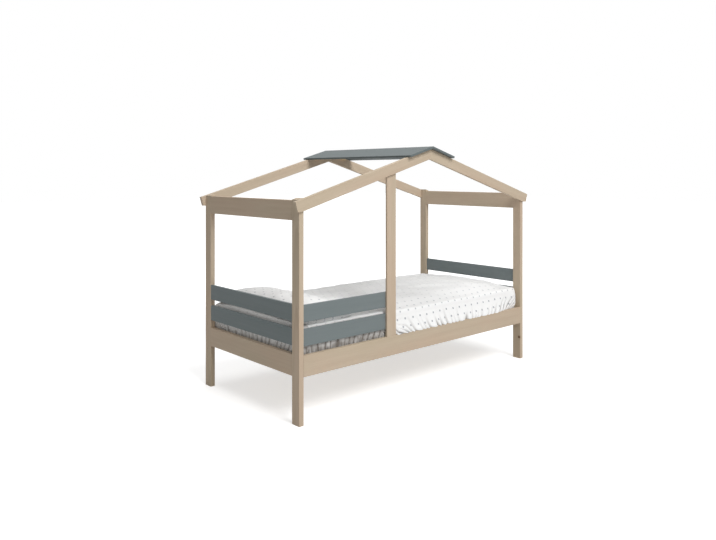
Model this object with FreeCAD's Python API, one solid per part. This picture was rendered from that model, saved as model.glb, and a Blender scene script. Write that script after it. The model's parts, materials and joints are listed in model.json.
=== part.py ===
import FreeCAD, Part
import math
import os

# Child's house frame bed with a half guard, a low gable roof and its bedding.
# Sizes are in millimetres. X runs along the bed, Y across it (the open front
# is on -Y), Z up. The origin is on the floor under the middle of the bed.

Vector = FreeCAD.Vector
ORIGIN = Vector(0, 0, 0)
AXIS_X = Vector(1, 0, 0)
AXIS_Y = Vector(0, 1, 0)
AXIS_Z = Vector(0, 0, 1)

# ---------------------------------------------------------------- frame
bed_length = 1980.0          # over the corner posts
bed_width = 960.0            # over the corner posts
post_thick = 30.0            # corner post along X, and the end rails with it
post_wide = 63.0             # corner post along Y
post_top = 1171.0            # outer edge of a corner post, where the slope starts
edge_round = 2.5             # eased long edges of the timber
joint_gap = 0.2              # play in a notch, mortise or mitre

# ---------------------------------------------------------------- rails
side_rail_thick = 24.0
low_rail_bottom = 250.0
low_rail_height = 112.0
top_rail_drop = 3.0          # top rail below the outer edge of the post
top_rail_height = 106.0
rail_tenon_long = 28.0
rail_tenon_thick = 12.0
rail_tenon_shoulder = 14.0   # above and below the tenon

# ---------------------------------------------------------------- guards
guard_height = 90.0
guard_bottom = 408.0
guard_spacing = 36.0         # open gap between the two guard boards
end_guard_thick = 18.0
end_guard_recess = 2.0       # behind the outer face of the posts
front_guard_thick = 16.0
front_guard_drop = 3.0       # below the end guards
front_guard_short = 5.0      # stops short of the free edge of the middle post
guard_tenon_long = 15.0
guard_tenon_thick = 8.0
guard_tenon_shoulder = 14.0  # above and below the tenon

# ---------------------------------------------------------------- middle post
mid_post_wide = 73.0
mid_post_thick = 14.0
mid_post_centre = -320.0     # along X
mid_post_drop = 8.0          # its tongue ends below the top of the rafter
foot_tenon_long = 24.0       # down into the side rail
foot_tenon_thick = 8.0
foot_tenon_wide = 45.0

# ---------------------------------------------------------------- roof
roof_angle = 16.25           # degrees
rafter_thick = 22.0
rafter_depth = 63.0          # square to its slope
rafter_let_in = 8.0          # into the outer faces of the posts
rafter_reach = 18.0          # foot of the end cut beyond the corner post
rafter_foot_cut = 9.0        # level cut starts this far inside the post's face
roof_board_thick = 12.0
roof_board_reach = 200.0     # from the ridge to the eave, level
roof_board_overhang = 24.0   # beyond the outer face of the rafters
eave_round = 2.0
cleat_size = 18.0            # square batten under a roof board
cleat_ridge_gap = 30.0
cleat_eave_gap = 62.0

# ---------------------------------------------------------------- slatted base
slat_depth = 52.0            # top of the slats below the top of the side rails
slat_count = 14
slat_wide = 68.0
slat_thick = 18.0
slat_bevel = 2.0
slat_end_gap = 8.0           # to the inner face of the side rails
ledger_thick = 25.0
ledger_height = 30.0
ledger_end_gap = 70.0        # to the corner posts
tape_wide = 25.0
tape_thick = 1.2
tape_spacing = 600.0         # between the two tapes

# ---------------------------------------------------------------- fixings
dowel_diameter = 12.0        # through the lap of rafter and corner post
dowel_length = 30.0
dowel_in_rafter = 14.0
dowel_play = 0.2             # on the diameter
dowel_end_play = 1.0
spline_thick = 8.0           # loose tongue in the ridge mitre of two rafters
spline_length = 32.0
spline_shoulder = 12.0
plate_wide = 16.0            # steel bed connector plates at the side rails
plate_height = 92.0
plate_thick = 2.5
hook_thick = 3.0
hook_neck_height = 14.0
hook_drop = 10.0
hook_tip_thick = 3.5
hook_low = 12.0              # neck of the lower hook above the foot of the plate
hook_spacing = 44.0
hook_play = 0.3

# ---------------------------------------------------------------- bedding
soft_gap = 0.3               # between things that only rest on each other
mattress_height = 180.0
mattress_bevel = 12.0
bedding_end_gap = 10.0       # to the end rails
bedding_side_gap = 4.0       # to the front guard and the rear side rail
cover_side = 4.0             # cloth over the sides of the mattress
cover_edge_top = 19.0        # quilting over the long edges
cover_crown = 6.0            # rise from the long edges to the middle
cover_hem = 14.0             # lower edge above the slats
cover_corner_round = 38.0
cover_top_round = 34.0
fold_count_long = 15         # tucked folds along each long side
fold_count_end = 5
fold_wide = 26.0
fold_depth = 3.4
fold_height = 96.0
fold_lean = 38.0             # degrees, the tops fanned apart towards the corners
fold_fan_middle = 270.0      # the folds stand upright here, along X
fold_fan_half = 620.0        # and have their whole lean this far from there
pillow_wide = 368.0          # along X
pillow_side_gap = 11.0       # to the long sides of the bedding
pillow_height = 108.0
pillow_crown = 0.30          # place of the crown from the end rail, of the width
pillow_seam = 0.26           # height of the seam, of the height
pillow_shoulder = 0.5        # small radius beside the seam, of the height above it
pillow_end_gap = 6.0         # to the end of the bedding
pillow_waist = 7.0           # the long sides draw in by this much
pillow_ear = 9.0             # the corners draw in by this much
pillow_end_fill = 0.2        # height at the short sides, of the height
pillow_steps = 6             # sections from the middle to each short side

# ---------------------------------------------------------------- derived
half_length = bed_length / 2.0
half_width = bed_width / 2.0
inner_x = half_length - post_thick
inner_y = half_width - side_rail_thick
post_inner_y = half_width - post_wide
slope = math.tan(math.radians(roof_angle))
rafter_rise = rafter_depth / math.cos(math.radians(roof_angle))
board_rise = roof_board_thick / math.cos(math.radians(roof_angle))
low_rail_top = low_rail_bottom + low_rail_height
top_rail_bottom = post_top - top_rail_drop - top_rail_height
guard_bottoms = (guard_bottom, guard_bottom + guard_height + guard_spacing)
front_guard_bottoms = tuple(bottom - front_guard_drop for bottom in guard_bottoms)
rafter_inner_y = half_width - rafter_let_in
rafter_outer_y = rafter_inner_y + rafter_thick
roof_half_width = rafter_outer_y + roof_board_overhang
slat_top = low_rail_top - slat_depth
ledger_top = slat_top - slat_thick
front_guard_outer = half_width - mid_post_thick
front_guard_inner = front_guard_outer - front_guard_thick
bedding_front = -front_guard_inner + bedding_side_gap
bedding_rear = inner_y - bedding_side_gap
bedding_middle = (bedding_front + bedding_rear) / 2.0
bedding_half_width = (bedding_rear - bedding_front) / 2.0
bedding_half_length = inner_x - bedding_end_gap
mattress_bottom = slat_top + soft_gap
mattress_top = mattress_bottom + mattress_height
pillow_long = 2.0 * (bedding_half_width - pillow_side_gap)
cover_edge_z = mattress_top + cover_edge_top
cover_top_z = cover_edge_z + cover_crown


def rafter_top_z(x):
    return post_top + (half_length - abs(x)) * slope


def rafter_under_z(x):
    return rafter_top_z(x) - rafter_rise


# ---------------------------------------------------------------- helpers
def box(x0, x1, y0, y1, z0, z1):
    return Part.makeBox(x1 - x0, y1 - y0, z1 - z0, Vector(x0, y0, z0))


def rod(start, axis, length, diameter):
    return Part.makeCylinder(diameter / 2.0, length, start, axis)


def profile_xz(points, y0, y1):
    corners = [Vector(x, y0, z) for x, z in points]
    face = Part.Face(Part.makePolygon(corners + corners[:1]))
    return face.extrude(Vector(0, y1 - y0, 0))


def edge_direction(edge):
    first = edge.Vertexes[0].Point
    last = edge.Vertexes[-1].Point
    return last.sub(first).normalize()


def eased(shape, direction, radius=edge_round):
    """Round the straight edges that run along one direction."""
    chosen = []
    for edge in shape.Edges:
        if len(edge.Vertexes) == 2 and abs(edge_direction(edge).dot(direction)) > 0.9999:
            chosen.append(edge)
    return shape.makeFillet(radius, chosen)


def mirror_x(shape):
    return shape.mirror(ORIGIN, AXIS_X)


def mirror_y(shape):
    return shape.mirror(ORIGIN, AXIS_Y)


def placed(shape, side_x, side_y):
    """Move a shape made for the front left corner to another corner."""
    if side_x > 0:
        shape = mirror_x(shape)
    if side_y > 0:
        shape = mirror_y(shape)
    return shape


def corners():
    for side_x, end in ((-1, "left"), (1, "right")):
        for side_y, face in ((-1, "front"), (1, "rear")):
            yield side_x, side_y, face + "_" + end


# Every fixing is made for the front left corner and copied to the others. The
# solid and the space cut for it come from the same function, with its play.
def rafter_dowel(play=0.0, end_play=0.0):
    x = -half_length + post_thick / 2.0
    z = (rafter_under_z(x) + rafter_top_z(x)) / 2.0
    start = Vector(x, -rafter_inner_y - dowel_in_rafter - end_play, z)
    return rod(start, AXIS_Y, dowel_length + 2.0 * end_play, dowel_diameter + play)


def ridge_spline(play=0.0):
    x = spline_length / 2.0 + play
    middle = -(rafter_inner_y + rafter_outer_y) / 2.0
    half_thick = spline_thick / 2.0 + play
    low = rafter_under_z(0.0) + spline_shoulder - play
    high = rafter_top_z(0.0) - spline_shoulder + play
    return box(-x, x, middle - half_thick, middle + half_thick, low, high)


def plate_middle():
    y = -half_width + side_rail_thick / 2.0
    low = low_rail_bottom + (low_rail_height - plate_height) / 2.0
    return y, low


def plate_blank(x0, x1, play=0.0):
    y, low = plate_middle()
    half = plate_wide / 2.0 + play
    return box(x0, x1, y - half, y + half, low - play, low + plate_height + play)


def hook_heights():
    _y, low = plate_middle()
    return (low + hook_low, low + hook_low + hook_spacing)


def hook_plate():
    """Plate let into the end of a side rail, with two hooks that point down."""
    y, _low = plate_middle()
    shape = plate_blank(-inner_x, -inner_x + plate_thick)
    back = -inner_x - plate_thick - hook_play
    tip = back - hook_tip_thick
    for z in hook_heights():
        top = z + hook_neck_height
        outline = [
            (-inner_x, z),
            (back, z),
            (back, z - hook_drop),
            (tip, z - hook_drop + hook_tip_thick),
            (tip, top - hook_tip_thick),
            (tip + hook_tip_thick, top),
            (-inner_x, top),
        ]
        shape = shape.fuse(profile_xz(outline, y - hook_thick / 2.0, y + hook_thick / 2.0))
    return shape.removeSplitter()


def slot_plate():
    """Plate let into the corner post, with a slot for each hook to drop into."""
    y, _low = plate_middle()
    half = hook_thick / 2.0 + hook_play
    shape = plate_blank(-inner_x - plate_thick, -inner_x)
    for z in hook_heights():
        top = z + hook_neck_height + hook_drop + hook_play
        slot = box(-inner_x - 2.0 * plate_thick, -inner_x + 1.0, y - half, y + half, z, top)
        shape = shape.cut(slot)
    return shape


def hook_pockets():
    """Room behind the slots for the hooks to turn down into."""
    y, _low = plate_middle()
    half = hook_thick / 2.0 + hook_play
    x1 = -inner_x - plate_thick
    x0 = x1 - hook_tip_thick - 2.0 * hook_play
    rooms = []
    for z in hook_heights():
        top = z + hook_neck_height + hook_drop + hook_play
        rooms.append(box(x0, x1, y - half, y + half, z - hook_drop - hook_play, top))
    return rooms


# ---------------------------------------------------------------- rafters
def rafter_outline():
    """Side view of the left rafter, from the ridge mitre to the square end."""
    foot_x = half_length + rafter_reach
    level_x = half_length - rafter_foot_cut
    level_z = rafter_under_z(level_x)
    climb = (rafter_top_z(foot_x) - level_z) / (1.0 + slope * slope)
    end_x = foot_x + climb * slope
    end_z = level_z + climb
    mitre_x = joint_gap / 2.0
    return [
        (-mitre_x, rafter_under_z(mitre_x)),
        (-mitre_x, rafter_top_z(mitre_x)),
        (-end_x, end_z),
        (-foot_x, level_z),
        (-level_x, level_z),
    ]


def rafter():
    along = Vector(math.cos(math.radians(roof_angle)), 0, math.sin(math.radians(roof_angle)))
    shape = profile_xz(rafter_outline(), -rafter_outer_y, -rafter_inner_y)
    shape = eased(shape, along)
    shape = shape.cut(rafter_dowel(dowel_play, dowel_end_play))
    return shape.cut(ridge_spline(joint_gap))


def rafter_seat():
    """Space that a rafter and its play take out of a post, open at the top."""
    foot_x = half_length + rafter_reach
    level_x = half_length - rafter_foot_cut
    low = rafter_under_z(level_x) - joint_gap
    far = rafter_under_z(0.0) - joint_gap
    high = rafter_top_z(0.0) + rafter_rise
    outline = [(-foot_x, low), (-level_x, low), (0.0, far), (0.0, high), (-foot_x, high)]
    return profile_xz(outline, -rafter_outer_y, -rafter_inner_y + joint_gap)


def above_slope(drop=0.0):
    """Everything above the top line of the left rafter."""
    low = rafter_top_z(half_length + post_wide) - drop
    high = rafter_top_z(0.0) - drop
    clear = rafter_top_z(0.0) + rafter_rise
    far = half_length + post_wide
    outline = [(-far, low), (0.0, high), (0.0, clear), (-far, clear)]
    return profile_xz(outline, -rafter_outer_y, 0.0)


# ---------------------------------------------------------------- posts
def end_tenon(middle_x, thick, length, low, high, play=0.0):
    """Stub tenon of an end board, into the inner face of the front post."""
    half = thick / 2.0 + play
    y1 = -post_inner_y
    return box(middle_x - half, middle_x + half, y1 - length - play, y1, low - play, high + play)


def rail_tenon(bottom, height, play=0.0):
    middle = -half_length + post_thick / 2.0
    low = bottom + rail_tenon_shoulder
    high = bottom + height - rail_tenon_shoulder
    return end_tenon(middle, rail_tenon_thick, rail_tenon_long, low, high, play)


def guard_tenon(bottom, play=0.0):
    middle = -half_length + end_guard_recess + end_guard_thick / 2.0
    low = bottom + guard_tenon_shoulder
    high = bottom + guard_height - guard_tenon_shoulder
    return end_tenon(middle, guard_tenon_thick, guard_tenon_long, low, high, play)


def front_guard_tenon(bottom, play=0.0):
    middle = -(front_guard_outer + front_guard_inner) / 2.0
    half = guard_tenon_thick / 2.0 + play
    low = bottom + guard_tenon_shoulder - play
    high = bottom + guard_height - guard_tenon_shoulder + play
    x0 = -inner_x - guard_tenon_long - play
    return box(x0, -inner_x, middle - half, middle + half, low, high)


def corner_post(with_front_guard):
    shape = box(-half_length, -inner_x, -half_width, -post_inner_y, 0, rafter_top_z(inner_x))
    shape = eased(shape, AXIS_Z)
    shape = shape.cut(above_slope())
    shape = shape.cut(rafter_seat())
    rooms = hook_pockets()
    rooms.append(plate_blank(-inner_x - plate_thick, -inner_x))
    rooms.append(rail_tenon(low_rail_bottom, low_rail_height, joint_gap))
    rooms.append(rail_tenon(top_rail_bottom, top_rail_height, joint_gap))
    rooms.append(rafter_dowel(dowel_play, dowel_end_play))
    for bottom in guard_bottoms:
        rooms.append(guard_tenon(bottom, joint_gap))
    if with_front_guard:
        for bottom in front_guard_bottoms:
            rooms.append(front_guard_tenon(bottom, joint_gap))
    for room in rooms:
        shape = shape.cut(room)
    return shape


def foot_tenon(play=0.0):
    half = foot_tenon_wide / 2.0 + play
    middle_y = -half_width + mid_post_thick / 2.0
    half_thick = foot_tenon_thick / 2.0 + play
    return box(mid_post_centre - half, mid_post_centre + half, middle_y - half_thick,
               middle_y + half_thick, low_rail_top - foot_tenon_long - play, low_rail_top)


def middle_post():
    x0 = mid_post_centre - mid_post_wide / 2.0
    x1 = mid_post_centre + mid_post_wide / 2.0
    y0 = -half_width
    y1 = -half_width + mid_post_thick
    shape = box(x0, x1, y0, y1, low_rail_top, rafter_top_z(x1))
    shape = eased(shape, AXIS_Z)
    shape = shape.cut(above_slope(mid_post_drop))
    shape = shape.cut(rafter_seat())
    return shape.fuse(foot_tenon()).removeSplitter()


# ---------------------------------------------------------------- rails
def end_rail(bottom, height):
    shape = box(-half_length, -inner_x, -post_inner_y, post_inner_y, bottom, bottom + height)
    shape = eased(shape, AXIS_Y)
    stub = rail_tenon(bottom, height)
    return shape.fuse(stub).fuse(mirror_y(stub)).removeSplitter()


def end_guard(bottom):
    x0 = -half_length + end_guard_recess
    x1 = x0 + end_guard_thick
    shape = box(x0, x1, -post_inner_y, post_inner_y, bottom, bottom + guard_height)
    shape = eased(shape, AXIS_Y)
    stub = guard_tenon(bottom)
    return shape.fuse(stub).fuse(mirror_y(stub)).removeSplitter()


def front_guard(bottom):
    x1 = mid_post_centre + mid_post_wide / 2.0 - front_guard_short
    top = bottom + guard_height
    shape = box(-inner_x, x1, -front_guard_outer, -front_guard_inner, bottom, top)
    shape = eased(shape, AXIS_X)
    return shape.fuse(front_guard_tenon(bottom)).removeSplitter()


def side_rail(with_middle_post):
    shape = box(-inner_x, inner_x, -half_width, -inner_y, low_rail_bottom, low_rail_top)
    shape = eased(shape, AXIS_X)
    seat = plate_blank(-inner_x, -inner_x + plate_thick)
    shape = shape.cut(seat).cut(mirror_x(seat))
    if with_middle_post:
        shape = shape.cut(foot_tenon(joint_gap))
    return shape


# ---------------------------------------------------------------- roof boards
def board_outline():
    """End view of the left roof board, on the rafters, mitred at the ridge."""
    eave_x = roof_board_reach
    eave_z = rafter_top_z(eave_x) + board_rise
    under_x = eave_x - roof_board_thick * math.sin(math.radians(roof_angle))
    under_z = eave_z - roof_board_thick * math.cos(math.radians(roof_angle))
    mitre_x = joint_gap / 2.0
    return [
        (-mitre_x, rafter_top_z(mitre_x)),
        (-mitre_x, rafter_top_z(mitre_x) + board_rise),
        (-eave_x, eave_z),
        (-under_x, under_z),
    ]


def cleat_frame():
    """Start of a cleat at the ridge end, its direction down the slope and its length."""
    angle = math.radians(roof_angle)
    down = Vector(-math.cos(angle), 0, -math.sin(angle))
    length = roof_board_reach / math.cos(angle) - cleat_ridge_gap - cleat_eave_gap
    start = Vector(0, 0, rafter_top_z(0.0)).add(Vector(down).multiply(cleat_ridge_gap))
    return start, down, length


def roof_cleat():
    """Batten under a roof board, against the inner face of a rafter."""
    angle = math.radians(roof_angle)
    start, down, length = cleat_frame()
    inward = Vector(math.sin(angle), 0, -math.cos(angle))
    a = start
    b = start.add(Vector(down).multiply(length))
    c = b.add(Vector(inward).multiply(cleat_size))
    d = a.add(Vector(inward).multiply(cleat_size))
    outline = [(p.x, p.z) for p in (a, b, c, d)]
    return profile_xz(outline, -rafter_inner_y, -rafter_inner_y + cleat_size)


def roof_board():
    shape = profile_xz(board_outline(), -roof_half_width, roof_half_width)
    eave = []
    for edge in shape.Edges:
        if abs(edge_direction(edge).dot(AXIS_Y)) > 0.9999 and edge.CenterOfMass.x < -joint_gap:
            eave.append(edge)
    return shape.makeFillet(eave_round, eave)


# ---------------------------------------------------------------- slatted base
def ledger():
    end = inner_x - ledger_end_gap
    y1 = -inner_y + ledger_thick
    return box(-end, end, -inner_y, y1, ledger_top - ledger_height, ledger_top)


def slat(number):
    run = 2.0 * (inner_x - ledger_end_gap) - slat_wide
    x = -run / 2.0 + run * number / (slat_count - 1)
    reach = inner_y - slat_end_gap
    shape = box(x - slat_wide / 2.0, x + slat_wide / 2.0, -reach, reach, ledger_top, slat_top)
    upper = []
    for edge in shape.Edges:
        if abs(edge_direction(edge).dot(AXIS_Y)) > 0.9999 and edge.BoundBox.ZMin > ledger_top:
            upper.append(edge)
    return shape.makeChamfer(slat_bevel, upper)


def slat_tape(side_y):
    end = inner_x - ledger_end_gap
    y = side_y * tape_spacing / 2.0
    return box(-end, end, y - tape_wide / 2.0, y + tape_wide / 2.0,
               ledger_top - tape_thick, ledger_top)


# ---------------------------------------------------------------- bedding
def crown_roller(top_z, rise, half_width_there):
    """Round bar along X whose top is the crown over the width of the bed."""
    radius = (half_width_there ** 2 + rise ** 2) / (2.0 * rise)
    start = Vector(-bed_length, bedding_middle, top_z - radius)
    return Part.makeCylinder(radius, 2.0 * bed_length, start, AXIS_X)


def mattress():
    x = bedding_half_length - cover_side
    y0 = bedding_front + cover_side
    y1 = bedding_rear - cover_side
    shape = box(-x, x, y0, y1, mattress_bottom, mattress_top)
    shape = eased(shape, AXIS_Z, cover_corner_round - cover_side)
    lids = [face for face in shape.Faces if abs(face.normalAt(0, 0).z) > 0.999]
    rims = [edge for face in lids for edge in face.Edges]
    return shape.makeChamfer(mattress_bevel, rims)


def tucked_fold(place, along, outward, lean):
    """Wedge of gathered cloth, wide at the hem and run out at its upper end."""
    axis = Vector(along).multiply(math.sin(lean)).add(Vector(0, 0, math.cos(lean)))
    sides = []
    for height, scale in ((0.0, 1.0), (0.55, 0.7), (1.0, 0.08)):
        foot = place.add(Vector(axis).multiply(fold_height * height))
        inner = foot.sub(Vector(outward).multiply(fold_depth))
        half = Vector(along).multiply(fold_wide / 2.0 * scale)
        crest = foot.add(Vector(outward).multiply(fold_depth * scale))
        sides.append(Part.makePolygon([inner.sub(half), crest, inner.add(half),
                                       inner.sub(half)]))
    return Part.makeLoft(sides, True, True)


def fold_places():
    """Foot, run, outward direction and lean of every tucked fold."""
    low = mattress_bottom + cover_hem
    swing = fold_height * math.sin(math.radians(fold_lean))
    x_run = bedding_half_length - cover_corner_round - swing
    y_run = bedding_half_width - cover_corner_round - swing
    for n in range(fold_count_long):
        x = x_run * (-1.0 + 2.0 * n / (fold_count_long - 1))
        part = max(-1.0, min(1.0, (x - fold_fan_middle) / fold_fan_half))
        lean = math.radians(fold_lean * part)
        yield Vector(x, bedding_front, low), AXIS_X, AXIS_Y.negative(), lean
        yield Vector(x, bedding_rear, low), AXIS_X, AXIS_Y, lean
    for n in range(fold_count_end):
        part = -1.0 + 2.0 * n / (fold_count_end - 1)
        lean = math.radians(fold_lean * part)
        y = bedding_middle + y_run * part
        yield Vector(-bedding_half_length, y, low), AXIS_Y, AXIS_X.negative(), lean
        yield Vector(bedding_half_length, y, low), AXIS_Y, AXIS_X, lean


def bedding_cover(core):
    low = mattress_bottom + cover_hem
    shape = box(-bedding_half_length, bedding_half_length, bedding_front, bedding_rear,
                low, cover_top_z + cover_crown)
    shape = eased(shape, AXIS_Z, cover_corner_round)
    shape = shape.common(crown_roller(cover_top_z, cover_crown, bedding_half_width))
    rim = []
    for edge in shape.Edges:
        if edge.BoundBox.ZMin > cover_edge_z - cover_crown:
            rim.append(edge)
    shape = shape.makeFillet(cover_top_round, rim)
    for place, along, outward, lean in fold_places():
        shape = shape.fuse(tucked_fold(place, along, outward, lean))
    return shape.cut(core).removeSplitter()


def arch(from_x, seam_z, crown_x, top_z):
    """Two arcs that meet smoothly, upright at the seam and level at the crown."""
    run = abs(crown_x - from_x)
    rise = top_z - seam_z
    small = rise * pillow_shoulder
    large = ((run - small) ** 2 + rise ** 2 - small ** 2) / (2.0 * (rise - small))
    side = 1.0 if crown_x > from_x else -1.0
    swing = math.asin((run - small) / (large - small))

    def on_small(angle):
        x = from_x + side * small * (1.0 - math.cos(angle))
        return x, seam_z + small * math.sin(angle)

    def on_large(angle):
        return crown_x - side * large * math.sin(angle), top_z - large * (1.0 - math.cos(angle))

    turn = math.pi / 2.0 - swing
    return [(from_x, seam_z), on_small(turn / 2.0), on_small(turn), on_large(swing / 2.0),
            (crown_x, top_z)]


def quarter(seam_x, seam_z, base_z, side):
    """Quarter circle from the seam down to the flat underside."""
    radius = seam_z - base_z
    lean = math.sqrt(0.5)
    middle = (seam_x + side * radius * (1.0 - lean), seam_z - radius * lean)
    return [(seam_x, seam_z), middle, (seam_x + side * radius, base_z)]


def pillow_section(y):
    """Closed outline of the pillow in the plane of one Y, crown near the end rail."""
    part = abs(y) / (pillow_long / 2.0)
    tall = pillow_height * max(math.sqrt(1.0 - part ** 3), pillow_end_fill)
    drawn_in = pillow_waist * (1.0 - part ** 2) + pillow_ear * part ** 8
    left = -bedding_half_length + pillow_end_gap + drawn_in
    right = -bedding_half_length + pillow_end_gap + pillow_wide - drawn_in
    base = cover_top_z + soft_gap
    seam = base + pillow_seam * tall
    crown = left + (right - left) * pillow_crown
    outline = arch(left, seam, crown, base + tall)
    outline += arch(right, seam, crown, base + tall)[-2::-1]
    under_right = quarter(right, seam, base, -1.0)
    under_left = quarter(left, seam, base, 1.0)
    outline += under_right[1:]
    points = [Vector(x, bedding_middle + y, z) for x, z in outline]
    low = [Vector(x, bedding_middle + y, z) for x, z in reversed(under_left)]
    edges = [Part.Arc(*points[n:n + 3]).toShape() for n in range(0, len(points) - 1, 2)]
    edges.append(Part.LineSegment(points[-1], low[0]).toShape())
    edges.append(Part.Arc(*low).toShape())
    return Part.Wire(edges)


def pillow():
    half = pillow_long / 2.0
    turns = [math.pi / 2.0 * n / pillow_steps for n in range(-pillow_steps, pillow_steps + 1)]
    return Part.makeLoft([pillow_section(half * math.sin(turn)) for turn in turns], True, True)


# ---------------------------------------------------------------- assembly
def at_all_corners(shape):
    solids = [placed(shape.copy(), side_x, side_y) for side_x, side_y, _name in corners()]
    return Part.makeCompound(solids)


def build():
    parts = {}
    for side_x, side_y, name in corners():
        guarded = side_x < 0 and side_y < 0
        parts["post_" + name] = placed(corner_post(guarded), side_x, side_y)
        parts["rafter_" + name] = placed(rafter(), side_x, side_y)
        parts["roof_cleat_" + name] = placed(roof_cleat(), side_x, side_y)
    for side_x, end in ((-1, "left"), (1, "right")):
        parts["end_top_rail_" + end] = placed(end_rail(top_rail_bottom, top_rail_height), side_x, -1)
        parts["end_low_rail_" + end] = placed(end_rail(low_rail_bottom, low_rail_height), side_x, -1)
        parts["end_guard_lower_" + end] = placed(end_guard(guard_bottoms[0]), side_x, -1)
        parts["end_guard_upper_" + end] = placed(end_guard(guard_bottoms[1]), side_x, -1)
        parts["roof_board_" + end] = placed(roof_board(), side_x, -1)
    parts["side_rail_front"] = side_rail(True)
    parts["side_rail_rear"] = placed(side_rail(False), -1, 1)
    parts["middle_post_front"] = middle_post()
    parts["front_guard_lower"] = front_guard(front_guard_bottoms[0])
    parts["front_guard_upper"] = front_guard(front_guard_bottoms[1])
    parts["ledger_front"] = ledger()
    parts["ledger_rear"] = placed(ledger(), -1, 1)
    for number in range(slat_count):
        parts["slat_%02d" % (number + 1)] = slat(number)
    parts["slat_tape_front"] = slat_tape(-1)
    parts["slat_tape_rear"] = slat_tape(1)
    parts["rafter_dowels"] = at_all_corners(rafter_dowel())
    parts["ridge_splines"] = Part.makeCompound([ridge_spline(), mirror_y(ridge_spline())])
    parts["bed_hook_plates"] = at_all_corners(hook_plate())
    parts["bed_slot_plates"] = at_all_corners(slot_plate())
    core = mattress()
    parts["mattress"] = core
    parts["bedding_cover"] = bedding_cover(core)
    parts["pillow"] = pillow()
    return parts


os.makedirs("parts", exist_ok=True)
for part_name, part_shape in build().items():
    part_shape.exportStep("parts/" + part_name + ".step")
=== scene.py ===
import bpy
import json
import math
import numpy as np
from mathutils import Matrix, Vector


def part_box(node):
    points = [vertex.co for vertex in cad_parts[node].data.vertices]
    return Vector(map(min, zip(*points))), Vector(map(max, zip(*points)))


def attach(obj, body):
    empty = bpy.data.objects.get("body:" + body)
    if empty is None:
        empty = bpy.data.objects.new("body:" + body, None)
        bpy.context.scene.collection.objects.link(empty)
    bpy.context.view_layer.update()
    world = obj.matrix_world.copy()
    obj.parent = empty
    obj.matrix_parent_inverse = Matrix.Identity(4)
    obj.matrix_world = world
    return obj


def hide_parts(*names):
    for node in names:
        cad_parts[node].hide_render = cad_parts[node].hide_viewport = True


# Child's house frame bed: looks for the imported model. Metres, in the model's frame.
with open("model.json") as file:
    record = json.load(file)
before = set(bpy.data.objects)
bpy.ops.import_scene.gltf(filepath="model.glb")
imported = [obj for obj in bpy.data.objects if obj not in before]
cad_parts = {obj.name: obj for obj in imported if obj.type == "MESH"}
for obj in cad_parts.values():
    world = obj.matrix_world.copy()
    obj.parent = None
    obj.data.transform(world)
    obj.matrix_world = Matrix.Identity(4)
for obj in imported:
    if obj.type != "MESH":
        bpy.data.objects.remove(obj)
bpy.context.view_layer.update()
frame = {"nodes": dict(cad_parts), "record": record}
rng = np.random.default_rng(11)

MATTRESS_LOW, MATTRESS_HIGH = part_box("mattress")
COVER_LOW, COVER_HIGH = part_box("bedding_cover")
PILLOW_LOW, PILLOW_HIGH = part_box("pillow")
HEM_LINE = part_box("side_rail_front")[1].z      # the gathers start at the top of the rail
LOWER_GUARD_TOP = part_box("front_guard_lower")[1].z
WHITE = (1.0, 1.0, 1.0, 1.0)


# ---------------------------------------------------------------- node graphs
def srgb(red, green, blue):
    """Linear colour of an 8-bit display colour."""
    values = []
    for value in (red, green, blue):
        v = value / 255.0
        values.append(v / 12.92 if v <= 0.04045 else ((v + 0.055) / 1.055) ** 2.4)
    return (*values, 1.0)


class Graph:
    """The node tree of a material or the world, with short calls to fill it."""

    def __init__(self, owner):
        self.owner = owner
        owner.use_nodes = True
        self.tree = owner.node_tree
        self.tree.nodes.clear()

    def add(self, kind, inputs=None, **settings):
        node = self.tree.nodes.new("ShaderNode" + kind)
        for key, value in settings.items():
            setattr(node, key, value)
        for key, value in (inputs or {}).items():
            if isinstance(value, bpy.types.NodeSocket):
                self.tree.links.new(value, node.inputs[key])
            else:
                node.inputs[key].default_value = value
        return node

    def math(self, operation, a, b=0.0, c=0.0, clamp=False):
        node = self.add("Math", {0: a, 1: b, 2: c}, operation=operation, use_clamp=clamp)
        return node.outputs[0]

    def vector(self, operation, a, b=(0.0, 0.0, 0.0)):
        return self.add("VectorMath", {0: a, 1: b}, operation=operation).outputs[0]

    def scaled(self, vector, scale):
        return self.vector("MULTIPLY", vector, scale)

    def noise(self, vector, scale=1.0, detail=2.0, roughness=0.5):
        inputs = {"Vector": vector, "Scale": scale, "Detail": detail, "Roughness": roughness}
        return self.add("TexNoise", inputs).outputs["Fac"]

    def ramp(self, value, low, high):
        """Smooth step of value from low to high."""
        inputs = {"Value": value, "From Min": low, "From Max": high}
        node = self.add("MapRange", inputs, interpolation_type="SMOOTHSTEP")
        return node.outputs["Result"]

    def mix(self, factor, a, b, blend="MIX"):
        node = self.add("Mix", data_type="RGBA", blend_type=blend)
        for key, value in ((0, factor), (6, a), (7, b)):
            if isinstance(value, bpy.types.NodeSocket):
                self.tree.links.new(value, node.inputs[key])
            else:
                node.inputs[key].default_value = value
        return node.outputs[2]

    def finish(self, colour, roughness, height=None, distance=0.001, strength=1.0, **shader):
        inputs = {"Base Color": colour, "Roughness": roughness}
        if height is not None:
            bump = self.add("Bump", {"Height": height, "Distance": distance,
                                     "Strength": strength})
            inputs["Normal"] = bump.outputs[0]
        for key, value in shader.items():
            inputs[key.replace("_", " ")] = value
        surface = self.add("BsdfPrincipled", inputs)
        self.add("OutputMaterial", {"Surface": surface.outputs[0]})
        return self.owner

    def plain_sight(self):
        """1 on rays from the camera, and on those that shiny and clear surfaces send on."""
        path = self.add("LightPath")
        seen = path.outputs["Is Camera Ray"]
        for kind in ("Is Glossy Ray", "Is Transmission Ray"):
            seen = self.math("MAXIMUM", seen, path.outputs[kind])
        return seen


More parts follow.
